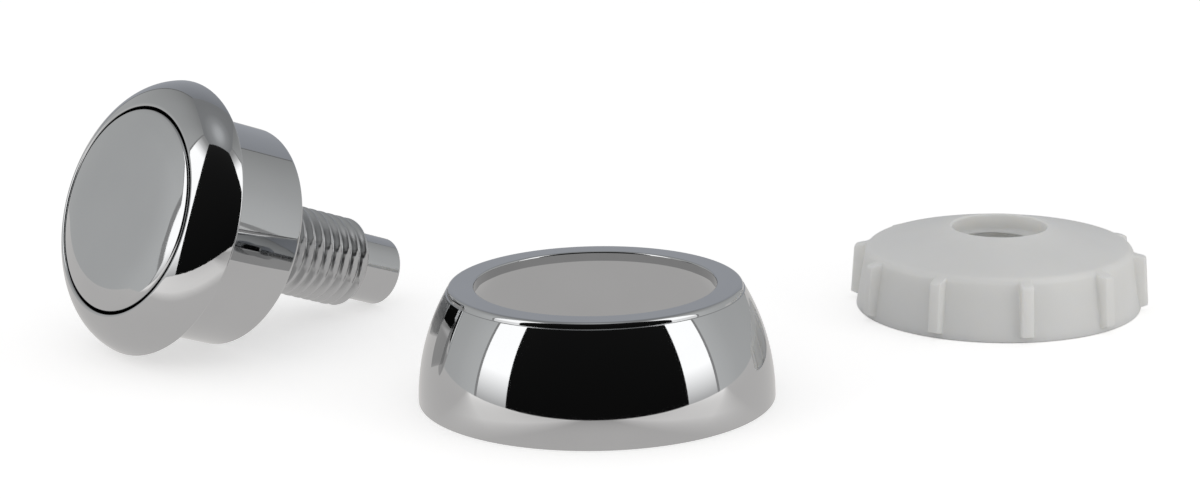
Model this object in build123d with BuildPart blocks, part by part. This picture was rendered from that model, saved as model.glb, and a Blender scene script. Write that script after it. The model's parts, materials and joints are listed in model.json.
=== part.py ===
from build123d import *
from math import asin, atan2, cos, hypot, radians, sin, sqrt
import os

# Push button cistern actuator, taken apart: button unit, dress ring and back nut.
# All sizes are in millimetres. The dress ring stands at the origin.

# Stem thread, coarse moulded M16 x 2
thread_r = 7.9
thread_pitch = 2.0
thread_depth = 1.1
thread_crest_w = 0.55
thread_root_w = 0.45
thread_sink = 0.3
thread_phase = -0.2
stem_len = 25.1
stem_end_len = 7.65
stem_end_r = 6.0
stem_end_round = 0.5
thread_end_len = 1.6
parting_flat_r = 7.38

# Body and bezel of the housing
bezel_r = 23.8
bezel_h = 6.7
bezel_rear_round = 0.35
bezel_lip_round = 0.4
bezel_face_lean = 25.0
bezel_face_reach = 1.9
bezel_side_reach = 2.0
body_r = 19.0
body_wall = 1.25
body_len = 16.3
body_rear_round = 0.8
cup_floor_t = 2.5

# Button
button_gap = 0.45
button_set_back = 0.55
button_crown = 0.5
button_shoulder_w = 1.6
button_shoulder_drop = 0.5
button_edge_round = 0.3
button_wall = 1.6
button_skirt_len = 8.8
button_boss_r = 5.0
button_boss_len = 8.3

# Push rod, its guide and its clip
rod_r = 2.5
rod_tip_inset = 0.25
rod_tip_chamfer = 0.4
rod_depth_in_boss = 6.1
rod_fit_gap = 0.02
guide_gap = 0.2
guide_len = 6.0
core_r = 4.4
clip_pocket_r = 4.0
clip_pocket_len = 3.56
clip_r = 3.65
clip_t = 0.6
clip_band_w = 1.1
clip_lug_w = 1.2
clip_mouth_w = 3.3
clip_gap = 0.03
groove_r = 1.6

# Return spring
spring_mean_r = 6.7
spring_wire_r = 0.45
spring_turns = 5.5
spring_wire_sides = 6
spring_boss_r = 5.6
spring_seat_gap = 0.03
button_travel = 6.0
stop_gap = 0.3

# Dress ring
ring_base_r = 28.7
ring_h = 18.74
ring_top_r = 23.3
ring_top_round = 0.6
ring_wall = 1.9
ring_lip_h = 1.7
ring_lip_round = 0.3
ring_gap = 0.42

# Back nut
nut_base_r = 25.0
nut_skirt_top_r = 23.35
nut_skirt_h = 10.67
nut_hub_h = 14.45
nut_edge_round = 1.0
nut_wall = 2.0
nut_hub_wall = 2.2
nut_hub_foot = 3.0
nut_thread_gap = 0.4
nut_lip_round = 0.35
rib_count = 10
rib_turn = -86.5
rib_w = 2.1
rib_foot_out = 1.2
rib_top_out = 2.25
rib_foot_h = 1.1
rib_top_h = 10.4
rib_round = 0.45

# Where the loose groups lie
nut_x = 71.19
nut_y = 49.47
unit_x = -78.39
unit_y = 25.45
unit_turn = 40.37

# Stations along the button unit, measured from the bezel's front
body_rear = bezel_h + body_len
cup_floor = body_rear - cup_floor_t
stem_end = body_rear + stem_len + stem_end_len
thread_stop = body_rear + stem_len
guide_floor = stem_end - clip_pocket_len
guide_start = guide_floor - guide_len
root_r = thread_r - thread_depth
chamfer_rate = thread_end_len / (thread_r - stem_end_r)
chamfer_start = thread_stop - chamfer_rate * (thread_r + thread_pitch - stem_end_r)
opening_r = body_r - body_wall
button_r = opening_r - button_gap
shoulder_r = button_r - button_shoulder_w
shoulder_s = button_set_back - button_shoulder_drop
button_face = shoulder_s - button_crown
button_under = shoulder_s + button_wall
boss_end = button_set_back + button_boss_len
spring_boss_end = boss_end + button_travel + stop_gap
rod_start = boss_end - rod_depth_in_boss
rod_end = stem_end - rod_tip_inset

# Where the bezel's rear rounding and its curved face start
rim_r = bezel_r - bezel_rear_round
rim_s = bezel_h - bezel_rear_round
face_lean = radians(bezel_face_lean)
face_r = opening_r + bezel_lip_round * (1 + sin(face_lean))
face_s = bezel_lip_round * (1 - cos(face_lean))

# The unit lies on the rounded rear edge of its body and the rounded end of the stem
edge_r = body_r - body_rear_round
edge_s = body_rear - body_rear_round
toe_r = stem_end_r - stem_end_round
toe_s = stem_end - stem_end_round
reach = hypot(toe_s - edge_s, edge_r - toe_r)
lean = atan2(edge_r - toe_r, toe_s - edge_s) + asin((body_rear_round - stem_end_round) / reach)
unit_z = edge_r * cos(lean) + edge_s * sin(lean) + body_rear_round
turn = radians(unit_turn)
unit_origin = Vector(unit_x, unit_y, unit_z)
along = Vector(cos(turn) * cos(lean), sin(turn) * cos(lean), -sin(lean))
across = Vector(-sin(turn), cos(turn), 0)
unit_axis = Axis(unit_origin, along)
half_plane = Plane(origin=unit_origin, x_dir=across, z_dir=across.cross(along))
front_plane = Plane(origin=unit_origin, x_dir=across, z_dir=along)

# Threaded stem: a core with the thread ridge wound round it, trimmed to its outline
with BuildPart() as stem:
    foot_half = (thread_pitch - thread_root_w) / 2
    crest_half = thread_crest_w / 2
    sunk_half = foot_half + thread_sink * (foot_half - crest_half) / thread_depth
    ridge_start = body_rear - thread_pitch * (1 + thread_phase)
    ridge_base = unit_origin + along * ridge_start
    with BuildSketch(front_plane.offset(ridge_start - thread_pitch)):
        Circle(root_r)
    extrude(amount=stem_end - ridge_start + 2 * thread_pitch)
    with BuildLine() as ridge_path:
        Helix(
            thread_pitch,
            stem_len + 2 * thread_pitch,
            root_r,
            center=ridge_base,
            direction=along,
        )
    ridge_foot = ridge_path.line @ 0
    ridge_out = (ridge_foot - ridge_base).normalized()
    with BuildSketch(Plane(origin=ridge_foot, x_dir=ridge_out, z_dir=ridge_path.line % 0)):
        with BuildLine():
            Polyline(
                (-thread_sink, -sunk_half),
                (thread_depth, -crest_half),
                (thread_depth, crest_half),
                (-thread_sink, sunk_half),
                close=True,
            )
        make_face()
    sweep(path=ridge_path.line, is_frenet=True)
    # Outline: from the body's rear face to the chamfered thread end and the plain end
    with BuildSketch(half_plane):
        with BuildLine():
            Polyline(
                (toe_r, stem_end),
                (0, stem_end),
                (0, body_rear),
                (thread_r + thread_pitch, body_rear),
                (thread_r + thread_pitch, chamfer_start),
                (stem_end_r, thread_stop),
                (stem_end_r, toe_s),
            )
            RadiusArc((stem_end_r, toe_s), (toe_r, stem_end), stem_end_round)
        make_face()
    revolve(axis=unit_axis, mode=Mode.INTERSECT)
    # Flats along both parting lines of the mould
    with BuildSketch(front_plane.offset(body_rear)):
        with PolarLocations(parting_flat_r + thread_pitch / 2, 2):
            Rectangle(thread_pitch, 2 * thread_r)
    extrude(amount=stem_len, mode=Mode.SUBTRACT)

# Housing: bezel and body turned as one with the stem, hollow for the mechanism
with BuildPart() as housing:
    with BuildSketch(half_plane):
        with BuildLine():
            Line((opening_r, cup_floor), (opening_r, bezel_lip_round))
            RadiusArc((opening_r, bezel_lip_round), (face_r, face_s), bezel_lip_round)
            Bezier(
                (face_r, face_s),
                (face_r + bezel_face_reach * cos(face_lean), face_s + bezel_face_reach * sin(face_lean)),
                (bezel_r, rim_s - bezel_side_reach),
                (bezel_r, rim_s),
            )
            RadiusArc((bezel_r, rim_s), (rim_r, bezel_h), bezel_rear_round)
            Polyline(
                (rim_r, bezel_h),
                (body_r, bezel_h),
                (body_r, edge_s),
            )
            RadiusArc((body_r, edge_s), (edge_r, body_rear), body_rear_round)
            Polyline(
                (edge_r, body_rear),
                (0, body_rear),
                (0, spring_boss_end),
                (spring_boss_r, spring_boss_end),
                (spring_boss_r, cup_floor),
                (opening_r, cup_floor),
            )
        make_face()
    revolve(axis=unit_axis)
    add(stem.part)
    # Bore through the stem: wide core, rod guide and the pocket for the clip
    with BuildSketch(half_plane):
        with BuildLine():
            Polyline(
                (0, spring_boss_end),
                (core_r, spring_boss_end),
                (core_r, guide_start),
                (rod_r + guide_gap, guide_start),
                (rod_r + guide_gap, guide_floor),
                (clip_pocket_r, guide_floor),
                (clip_pocket_r, stem_end),
                (0, stem_end),
                close=True,
            )
        make_face()
    revolve(axis=unit_axis, mode=Mode.SUBTRACT)

# Button: domed face with a soft shoulder, a skirt and a boss for the rod
with BuildPart() as button_cap:
    with BuildSketch(half_plane) as cap_section:
        with BuildLine():
            crown_r = (shoulder_r**2 + button_crown**2) / (2 * button_crown)
            dome_lean = 2 * atan2(button_crown, shoulder_r)
            RadiusArc((0, button_face), (shoulder_r, shoulder_s), crown_r)
            TangentArc(
                (shoulder_r, shoulder_s),
                (button_r, button_set_back),
                tangent=(cos(dome_lean), sin(dome_lean)),
            )
            Polyline(
                (button_r, button_set_back),
                (button_r, button_set_back + button_skirt_len),
                (button_r - button_wall, button_set_back + button_skirt_len),
                (button_r - button_wall, button_under),
                (button_boss_r, button_under),
                (button_boss_r, boss_end),
                (rod_r + rod_fit_gap, boss_end),
                (rod_r + rod_fit_gap, rod_start),
                (0, rod_start),
                (0, button_face),
            )
        make_face()
        fillet(cap_section.vertices().group_by(Axis.X)[-1].sort_by(Axis.Y)[0], button_edge_round)
    revolve(axis=unit_axis)

# Push rod: seated in the button's boss, grooved for the clip near its end
with BuildPart() as push_rod:
    groove_end = guide_floor + clip_t + 2 * clip_gap
    with BuildSketch(half_plane):
        with BuildLine():
            Polyline(
                (0, rod_start),
                (rod_r, rod_start),
                (rod_r, guide_floor),
                (groove_r, guide_floor),
                (groove_r, groove_end),
                (rod_r, groove_end),
                (rod_r, rod_end - rod_tip_chamfer),
                (rod_r - rod_tip_chamfer, rod_end),
                (0, rod_end),
                close=True,
            )
        make_face()
    revolve(axis=unit_axis)

# Retaining clip: an open band with three lugs that reach into the rod's groove
with BuildPart() as retaining_clip:
    lug_start = groove_r + clip_gap
    lug_len = clip_r - clip_band_w / 2 - lug_start
    with BuildSketch(front_plane.offset(guide_floor + clip_gap)):
        Circle(clip_r)
        Circle(clip_r - clip_band_w, mode=Mode.SUBTRACT)
        with PolarLocations(lug_start + lug_len / 2, 3, 90, 180, endpoint=True):
            Rectangle(lug_len, clip_lug_w)
        with Locations((clip_lug_w + clip_r / 2, 0)):
            Rectangle(clip_r, clip_mouth_w, mode=Mode.SUBTRACT)
    extrude(amount=clip_t)

# Return spring: wire wound between the button's underside and the cup's floor
with BuildPart() as return_spring:
    spring_inset = spring_wire_r + spring_seat_gap
    spring_len = cup_floor - button_under - 2 * spring_inset
    with BuildLine() as wire_path:
        Helix(
            spring_len / spring_turns,
            spring_len,
            spring_mean_r,
            center=unit_origin + along * (button_under + spring_inset),
            direction=along,
        )
    with BuildSketch(Plane(origin=wire_path.line @ 0, z_dir=wire_path.line % 0)):
        RegularPolygon(spring_wire_r, spring_wire_sides)
    sweep(path=wire_path.line, is_frenet=True)

# Dress ring: a domed shell with a flat top lip round the opening
with BuildPart() as dress_ring:
    ring_opening_r = body_r + ring_gap
    ring_lip_z = ring_h - ring_lip_h
    ring_lean = ring_base_r - ring_top_r
    side_r = (ring_lean**2 + ring_h**2) / (2 * ring_lean)
    inner_top_r = ring_base_r - side_r + sqrt((side_r - ring_wall) ** 2 - ring_lip_z**2)
    with BuildSketch(Plane.XZ) as ring_section:
        with BuildLine():
            TangentArc((ring_base_r, 0), (ring_top_r, ring_h), tangent=(0, 1))
            Polyline(
                (ring_top_r, ring_h),
                (ring_opening_r, ring_h),
                (ring_opening_r, ring_lip_z),
                (inner_top_r, ring_lip_z),
            )
            TangentArc((ring_base_r - ring_wall, 0), (inner_top_r, ring_lip_z), tangent=(0, 1))
            Line((ring_base_r - ring_wall, 0), (ring_base_r, 0))
        make_face()
        fillet(ring_section.vertices().group_by(Axis.Y)[-1].sort_by(Axis.X)[-1], ring_top_round)
        fillet(ring_section.vertices().group_by(Axis.Y)[-1].sort_by(Axis.X)[0], ring_lip_round)
    revolve(axis=Axis.Z)

# One grip rib of the nut, standing at the origin and pointing along X
with BuildPart() as rib:
    with BuildSketch(Plane.XZ):
        with BuildLine():
            Polyline(
                (nut_skirt_top_r - nut_wall / 2, rib_foot_h),
                (nut_base_r + rib_foot_out, rib_foot_h),
                (nut_skirt_top_r + rib_top_out, rib_top_h),
                (nut_skirt_top_r - nut_wall / 2, rib_top_h),
                close=True,
            )
        make_face()
    extrude(amount=rib_w / 2, both=True)
    fillet(rib.faces().sort_by(Axis.X)[-1].edges().sort_by(Axis.Z)[1:], rib_round)

# Back nut: ribbed skirt, conical top and a hub round the threaded hole
with BuildPart() as back_nut:
    nut_bore_r = thread_r + nut_thread_gap
    nut_hub_r = nut_bore_r + nut_hub_wall
    top_rate = (nut_hub_h - nut_skirt_h) / (nut_skirt_top_r - nut_bore_r)
    under_h = nut_skirt_h - nut_wall
    nut_half = Plane(origin=(nut_x, nut_y, 0), x_dir=(1, 0, 0), z_dir=(0, -1, 0))
    with BuildSketch(nut_half) as nut_section:
        with BuildLine():
            Polyline(
                (nut_base_r, 0),
                (nut_skirt_top_r, nut_skirt_h),
                (nut_bore_r, nut_hub_h),
                (nut_bore_r, nut_hub_foot),
                (nut_hub_r, nut_hub_foot),
                (nut_hub_r, under_h + top_rate * (nut_skirt_top_r - nut_wall - nut_hub_r)),
                (nut_skirt_top_r - nut_wall, under_h),
                (nut_base_r - nut_wall, 0),
                close=True,
            )
        make_face()
        fillet(nut_section.vertices().sort_by(Axis.Y)[-1], nut_lip_round)
        fillet(nut_section.vertices().sort_by(Axis.X)[-2], nut_edge_round)
    revolve(axis=Axis((nut_x, nut_y, 0), (0, 0, 1)))
    with Locations((nut_x, nut_y, 0)):
        with PolarLocations(0, rib_count, rib_turn):
            add(rib.part)

housing.part.label = "housing"
button_cap.part.label = "button_cap"
push_rod.part.label = "push_rod"
retaining_clip.part.label = "retaining_clip"
return_spring.part.label = "return_spring"
dress_ring.part.label = "dress_ring"
back_nut.part.label = "back_nut"

os.makedirs("parts", exist_ok=True)
export_step(housing.part, "parts/housing.step")
export_step(button_cap.part, "parts/button_cap.step")
export_step(push_rod.part, "parts/push_rod.step")
export_step(retaining_clip.part, "parts/retaining_clip.step")
export_step(return_spring.part, "parts/return_spring.step")
export_step(dress_ring.part, "parts/dress_ring.step")
export_step(back_nut.part, "parts/back_nut.step")
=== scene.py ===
"""Push button cistern actuator: chromed button unit, chromed dress ring and ribbed back nut."""
import json
import math

import bmesh
import bpy
import numpy as np
from bpy.props import FloatProperty, FloatVectorProperty, IntProperty, PointerProperty
from bpy.types import Operator, Panel, PropertyGroup
from mathutils import Matrix, Vector


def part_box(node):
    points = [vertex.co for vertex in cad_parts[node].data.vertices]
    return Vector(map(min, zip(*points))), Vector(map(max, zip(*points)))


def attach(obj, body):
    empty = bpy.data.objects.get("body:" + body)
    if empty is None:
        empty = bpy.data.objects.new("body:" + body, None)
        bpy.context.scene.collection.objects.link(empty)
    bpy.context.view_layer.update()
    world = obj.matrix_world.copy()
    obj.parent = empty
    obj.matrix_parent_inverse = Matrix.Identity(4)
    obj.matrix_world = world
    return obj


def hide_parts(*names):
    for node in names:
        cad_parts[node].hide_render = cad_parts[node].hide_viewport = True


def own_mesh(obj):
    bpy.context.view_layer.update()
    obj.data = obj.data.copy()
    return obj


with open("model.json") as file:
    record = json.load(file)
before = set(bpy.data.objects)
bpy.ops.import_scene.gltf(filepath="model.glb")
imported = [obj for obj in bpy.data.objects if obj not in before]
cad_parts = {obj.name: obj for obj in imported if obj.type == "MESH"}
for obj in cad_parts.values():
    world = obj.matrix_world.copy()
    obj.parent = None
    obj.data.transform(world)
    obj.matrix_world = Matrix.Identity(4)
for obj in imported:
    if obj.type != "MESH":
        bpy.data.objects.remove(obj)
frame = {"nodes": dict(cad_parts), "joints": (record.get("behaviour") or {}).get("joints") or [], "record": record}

bl_info = {
    "name": "Push Button Cistern Actuator",
    "version": (1, 0, 0),
    "blender": (4, 5, 0),
    "location": "View3D > Sidebar > Actuator",
    "description": "Builds the looks of a push button cistern actuator round its packed frame",
    "category": "Add Mesh",
}

MM = 0.001
TURN = 2.0 * math.pi
# Points closer than NEAR to a surface are on it, and points closer than WELD are one
NEAR = 0.01 * MM
WELD = 1e-7
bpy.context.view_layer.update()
MOUNTS = {mount["name"]: mount for mount in frame["record"]["mounts"]}
JOINT = frame["joints"][0]
RING_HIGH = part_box("dress_ring")[1]


# Property helpers

def length(name, description, millimetres):
    """A length property whose default is given in millimetres."""
    return FloatProperty(
        name=name, description=description, default=millimetres * MM, min=0.0, precision=5, unit="LENGTH"
    )


def degrees(name, description, value):
    """An angle property whose default is given in degrees."""
    return FloatProperty(name=name, description=description, default=math.radians(value), subtype="ANGLE")


def position(name, description, *value):
    """A place in the frame, in metres."""
    return FloatVectorProperty(name=name, description=description, default=value, subtype="XYZ")


def colour(name, description, *value):
    """A linear colour property."""
    return FloatVectorProperty(
        name=name, description=description, default=value, size=3, min=0.0, max=1.0, subtype="COLOR"
    )


def share(name, description, value):
    """A plain number property without a unit."""
    return FloatProperty(name=name, description=description, default=value, min=0.0, precision=4)


class RingSizes(PropertyGroup):
    """Sizes of the dress ring"""

    base_radius: length("Base radius", "Outer radius where the ring stands", RING_HIGH.x / MM)
    height: length("Height", "Height of the ring", RING_HIGH.z / MM)
    top_radius: length("Top radius", "Outer radius that the dome has at the top", 23.3)
    rim_height: length("Rim height", "Height of the rim above the dome", 0.98)
    rim_ledge: length("Rim ledge", "Width of the ledge under the rim", 0.15)
    rim_round: length("Rim rounding", "Rounding of the rim's outer edge", 0.8)
    rim_lean: degrees("Rim lean", "Slope of the rim's side", 12)
    opening_radius: length("Opening radius", "Radius of the opening", MOUNTS["ring_opening"]["dims"]["r_mm"])
    wall: length("Wall", "Thickness of the domed wall", 1.9)
    lip_height: length("Lip height", "Height of the lip round the opening", 1.7)
    lip_round: length("Lip rounding", "Rounding of the lip's upper edge", 0.3)
    edge_round: length("Edge rounding", "Rounding of the edges that were left crisp", 0.12)


class UnitSizes(PropertyGroup):
    """Sizes of the button unit's housing and button"""

    bezel_radius: length("Bezel radius", "Outer radius of the bezel", 23.8)
    bezel_height: length("Bezel height", "Height of the bezel along the axis", 6.7)
    bezel_rear_round: length("Bezel rear rounding", "Rounding of the bezel's rear edge", 0.35)
    bezel_lip_round: length("Bezel lip rounding", "Rounding round the button opening", 0.4)
    bezel_face_lean: degrees("Face lean", "Slope of the bezel's face at its lip", 29.1)
    bezel_face_reach: length("Face reach", "How far the bezel's face keeps that slope", 4.04)
    bezel_side_lean: degrees("Side lean", "Slope of the bezel's side at its rear", 15.7)
    bezel_side_reach: length("Side reach", "How far the bezel's side keeps that slope", 2.21)
    body_radius: length("Body radius", "Radius of the round body", MOUNTS["unit_body"]["dims"]["r_mm"])
    body_wall: length("Body wall", "Wall of the body round the button", 1.25)
    body_rear_round: length("Body rear rounding", "Rounding of the body's rear edge", 0.8)
    cup_floor: length("Cup floor", "Thickness of the floor behind the button", 2.5)
    button_gap: length("Button gap", "Gap between the button and the bezel", 0.45)
    button_set_back: length("Button set back", "Where the skirt and boss are measured from", 0.55)
    button_edge: length("Button edge", "How far the button's edge lies behind the bezel", 0.35)
    button_under: length("Button underside", "Depth of the button's underside", 1.65)
    dome_power: share("Dome power", "Power of the radius with which the dome's slope grows", 4.0)
    dome_lean: degrees("Dome lean", "Slope of the dome where it meets the band", 15.5)
    band_width: length("Band width", "Width of the band round the dome", 1.7)
    band_lean: degrees("Band lean", "Slope of the band at the shoulder", 17.4)
    shoulder_width: length("Shoulder width", "Width of the shoulder outside the band", 0.64)
    shoulder_lean: degrees("Shoulder lean", "Slope of the shoulder at the edge", 26)
    button_edge_round: length("Button edge rounding", "Rounding of the button's edge", 0.5)
    button_wall: length("Button wall", "Wall of the button", 1.6)
    button_skirt: length("Button skirt", "Length of the button's skirt", 8.8)
    boss_radius: length("Boss radius", "Radius of the boss that holds the rod", 5.0)
    boss_length: length("Boss length", "Length of the boss that holds the rod", 8.3)
    rod_radius: length("Rod radius", "Radius of the push rod with its fit", 2.52)
    rod_depth: length("Rod depth", "Depth of the rod in the boss", 6.1)
    spring_boss_radius: length("Spring boss radius", "Radius of the boss inside the spring", 5.6)
    stop_gap: length("Stop gap", "Room left behind the button at full travel", 0.3)
    core_radius: length("Core radius", "Radius of the stem's wide core", 4.4)
    guide_radius: length("Guide radius", "Radius of the rod's guide", 2.7)
    guide_length: length("Guide length", "Length of the rod's guide", 6.0)
    pocket_radius: length("Pocket radius", "Radius of the clip's pocket", 4.0)
    pocket_length: length("Pocket length", "Length of the clip's pocket", 3.56)
    edge_round: length("Edge rounding", "Rounding of the edges that were left crisp", 0.12)


class StemSizes(PropertyGroup):
    """Sizes of the threaded stem"""

    thread_radius: length("Thread radius", "Radius over the thread's crests", 7.9)
    pitch: length("Pitch", "Pitch of the thread", 2.0)
    depth: length("Depth", "Depth of the thread", 0.95)
    crest: length("Crest", "Width of the crests", 0.4)
    root: length("Root", "Width of the roots", 0.3)
    corner_round: length("Corner rounding", "Rounding of the thread's corners", 0.16)
    thread_length: length("Thread length", "Length of the threaded stretch", 25.1)
    chamfer: length("Chamfer", "Length of the chamfer at the thread's end", 1.6)
    end_radius: length("End radius", "Radius of the plain end", 6.0)
    end_length: length("End length", "Length of the plain end", 7.65)
    end_round: length("End rounding", "Rounding of the plain end", 0.5)
    flat_radius: length("Flat radius", "Distance of the parting flats from the axis", 7.25)
    dullness: share("Dullness", "Extra roughness of the plate on the thread", 0.26)


class SpringSizes(PropertyGroup):
    """Sizes of the return spring"""

    mean_radius: length("Mean radius", "Radius of the wire's centre line", 6.7)
    wire_radius: length("Wire radius", "Radius of the wire", 0.45)
    seat_gap: length("Seat gap", "Gap at both seats", 0.03)
    turns: share("Turns", "Number of turns", 5.5)


class NutSizes(PropertyGroup):
    """Sizes of the back nut"""

    base_radius: length("Base radius", "Outer radius of the skirt's foot", 25.0)
    skirt_top_radius: length("Skirt top radius", "Outer radius of the skirt's top", 23.35)
    skirt_height: length("Skirt height", "Height of the skirt", 10.67)
    hub_height: length("Hub height", "Height of the conical top at the hole", 14.45)
    edge_round: length("Edge rounding", "Rounding between skirt and cone", 1.5)
    wall: length("Wall", "Wall of the skirt", 2.0)
    bore_radius: length("Bore radius", "Radius of the threaded hole", MOUNTS["nut_hole"]["dims"]["r_mm"])
    hub_wall: length("Hub wall", "Wall of the hub round the hole", 2.2)
    hub_foot: length("Hub foot", "Height of the hub's lower end", 3.0)
    lip_round: length("Lip rounding", "Rounding at the hole's mouth", 0.35)
    rib_half_width: length("Rib half width", "Half the width of a grip rib", 1.05)
    rib_foot_out: length("Rib foot", "How far a rib stands out at its foot", 1.2)
    rib_top_out: length("Rib top", "How far a rib stands out at its top", 2.25)
    rib_foot_height: length("Rib foot height", "Height at which the ribs start", 1.1)
    rib_top_height: length("Rib top height", "Height at which the ribs end", 10.1)
    rib_count: IntProperty(name="Ribs", description="Number of grip ribs", default=10, min=1)
    rib_turn: degrees("Rib turn", "Angle of the first rib", -86.5)
    ridge_height: length("Ridge height", "Height of the thread ridge in the hole", 1.0)
    ridge_start: length("Ridge start", "Depth of the ridge's start below the mouth", 3.2)
    ridge_turn: degrees("Ridge turn", "Angle of the ridge's start", 52)


class Finishes(PropertyGroup):
    """Colours of the finishes"""

    chrome: colour("Chrome", "Bright chrome plate", 0.56, 0.565, 0.57)
    nut: colour("Nut", "White moulded plastic", 0.80, 0.80, 0.785)
    rod: colour("Rod", "Natural acetal", 0.80, 0.79, 0.75)
    steel: colour("Steel", "Drawn spring wire", 0.50, 0.50, 0.50)


class StageSettings(PropertyGroup):
    """Camera, floor and studio light"""

    focal_length: FloatProperty(name="Focal length", description="Lens in millimetres", default=89.1, min=1.0)
    elevation: FloatProperty(
        name="Elevation", description="Camera's height angle", default=0.255, subtype="ANGLE"
    )
    roll: FloatProperty(name="Roll", description="Camera's roll", default=-0.018, subtype="ANGLE")
    distance: length("Distance", "Distance from the camera to its target", 472.306)
    target: position("Target", "Point that the camera looks at", 0.000875, 0.0, 0.024141)
    floor_colour: colour("Floor", "Pale floor", 0.86, 0.855, 0.85)
    floor_tint: colour("Mirrored floor", "Tint of the floor in the chrome", 1.0, 0.98, 0.965)
    sky_strength: share("Sky strength", "Light from the studio's walls and ceiling", 0.63)
    floor_lift: share("Floor lift", "What the camera sees on top of the lit floor", 0.46)
    lamp_place: position("Lamp place", "Where the right soft lamp stands", 0.42, -0.22, 0.12)
    lamp_size: length("Lamp size", "Side of the soft lamps", 260.0)
    lamp_power: share("Lamp power", "Power of the right soft lamp in watts", 0.34)
    left_share: share("Left share", "Power of the left soft lamp as a share of the right one", 1.3)
    lamp_colour: colour("Lamp colour", "Colour of the soft lamps", 1.0, 0.97, 0.91)
    panel_distance: length("Panel distance", "Distance of the dark front panel", 150.0)
    panel_half_width: length("Panel half width", "Half the width of the dark front panel", 230.0)
    strip_depth: length("Strip depth", "How far the white strips reach back from the panel", 94.0)
    wall_distance: length("Wall distance", "Distance of the grey side walls", 300.0)
    back_distance: length("Back distance", "Distance of the back wall", 520.0)
    ceiling_height: length("Ceiling height", "Height of the ceiling", 760.0)


# Outlines: arrays of (radius, station) points

EDGE_INSET = 0.03 * MM
LEAST_TURN = 1e-3


def straight(start, end):
    """A straight run with a point close to each end, so that its shading stays flat between them."""
    start = np.array(start, float)
    end = np.array(end, float)
    inset = min(EDGE_INSET / max(np.linalg.norm(end - start), EDGE_INSET), 0.25)
    steps = np.array([0.0, inset, 0.5, 1.0 - inset, 1.0])[:, None]
    return start + (end - start) * steps


def arc(centre, radius, start_angle, end_angle, steps):
    """Points on a circle, from one angle to the other."""
    angles = np.linspace(start_angle, end_angle, steps + 1)[:, None]
    return np.array(centre) + radius * np.hstack([np.cos(angles), np.sin(angles)])


def bezier(first, second, third, last, steps):
    """A cubic curve: the four points weighted by the terms of ((1 - t) + t) cubed."""
    t = np.linspace(0.0, 1.0, steps + 1)[:, None]
    u = 1.0 - t
    points = [np.array(point, float) for point in (first, second, third, last)]
    return u**3 * points[0] + 3 * u**2 * t * points[1] + 3 * u * t**2 * points[2] + t**3 * points[3]


def corner_arc(before, corner, after, rounding, steps):
    """The circle of that radius that touches both runs at a corner, swept from one run to the other."""
    arriving = (corner - before) / np.linalg.norm(corner - before)
    leaving = (after - corner) / np.linalg.norm(after - corner)
    turn = math.acos(np.clip(arriving @ leaving, -1.0, 1.0))
    if rounding == 0.0 or turn < LEAST_TURN:
        return corner[None, :]
    reach = rounding * math.tan(turn / 2)
    inward = (leaving - arriving) / np.linalg.norm(leaving - arriving)
    centre = corner + inward * rounding / math.cos(turn / 2)
    first = corner - arriving * reach - centre
    last = corner + leaving * reach - centre
    k = np.linspace(0.0, 1.0, steps + 1)[:, None]
    return centre + (first * np.sin((1 - k) * turn) + last * np.sin(k * turn)) / math.sin(turn)


def rounded(corners, steps=6):
    """Straight runs through the corners (radius, station, rounding), each corner turned into its arc."""
    points = [np.array(corner[:2], float) for corner in corners]
    bends = [points[0][None, :]]
    for before, corner, after, data in zip(points, points[1:], points[2:], corners[1:]):
        bends.append(corner_arc(before, corner, after, data[2], steps))
    bends.append(points[-1][None, :])
    runs = [bends[0]]
    for bend, following in zip(bends, bends[1:]):
        runs.append(straight(bend[-1], following[0])[1:])
        runs.append(following[1:])
    return np.vstack(runs)


# Surfaces: grids of points and the quads between them

def grid_quads(rows, columns, wrap_rows, wrap_columns):
    """Corner numbers of the quads of a grid, with its last row or column joined to the first where asked."""
    row = np.arange(rows if wrap_rows else rows - 1)[:, None]
    column = np.arange(columns if wrap_columns else columns - 1)[None, :]
    next_row = (row + 1) % rows
    next_column = (column + 1) % columns
    corners = [row * columns + column, row * columns + next_column,
               next_row * columns + next_column, next_row * columns + column]
    return np.stack(np.broadcast_arrays(*corners), axis=-1).reshape(-1, 4)


class Place:
    """A piece's own axis: station s, radius r, angle t give origin + s axis + r (cos t side + sin t up)."""

    def __init__(self, origin, axis, side):
        self.origin = np.array(origin, float)
        self.axis = np.array(axis, float) / np.linalg.norm(axis)
        self.side = np.array(side, float) / np.linalg.norm(side)
        self.up = np.cross(self.axis, self.side)

    def points(self, radius, station, angle):
        """Points in the frame, for arrays of radius, station and angle of one shape."""
        out = np.cos(angle)[..., None] * self.side + np.sin(angle)[..., None] * self.up
        return self.origin + station[..., None] * self.axis + radius[..., None] * out

    def measures(self, points):
        """Radius, station and angle of points in the frame."""
        offset = points - self.origin
        station = offset @ self.axis
        x = offset @ self.side
        y = offset @ self.up
        return np.hypot(x, y), station, np.arctan2(y, x)


def full_turn(count):
    """Even angles round an axis."""
    return np.linspace(0.0, TURN, count, endpoint=False)


def turned(place, outline, angles):
    """An outline carried round an axis: each row is one outline point at all the angles."""
    radius, angle = np.meshgrid(outline[:, 0], angles, indexing="ij")
    station = np.repeat(outline[:, 1][:, None], len(angles), axis=1)
    return place.points(radius, station, angle)


def sheet(points, wrap_rows, wrap_columns):
    """A grid of points as one list, with its quads."""
    rows, columns = points.shape[:2]
    return points.reshape(-1, 3), grid_quads(rows, columns, wrap_rows, wrap_columns)


def add_object(name, data):
    """A new object in the scene."""
    piece = bpy.data.objects.new(name, data)
    bpy.context.scene.collection.objects.link(piece)
    return piece


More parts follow.
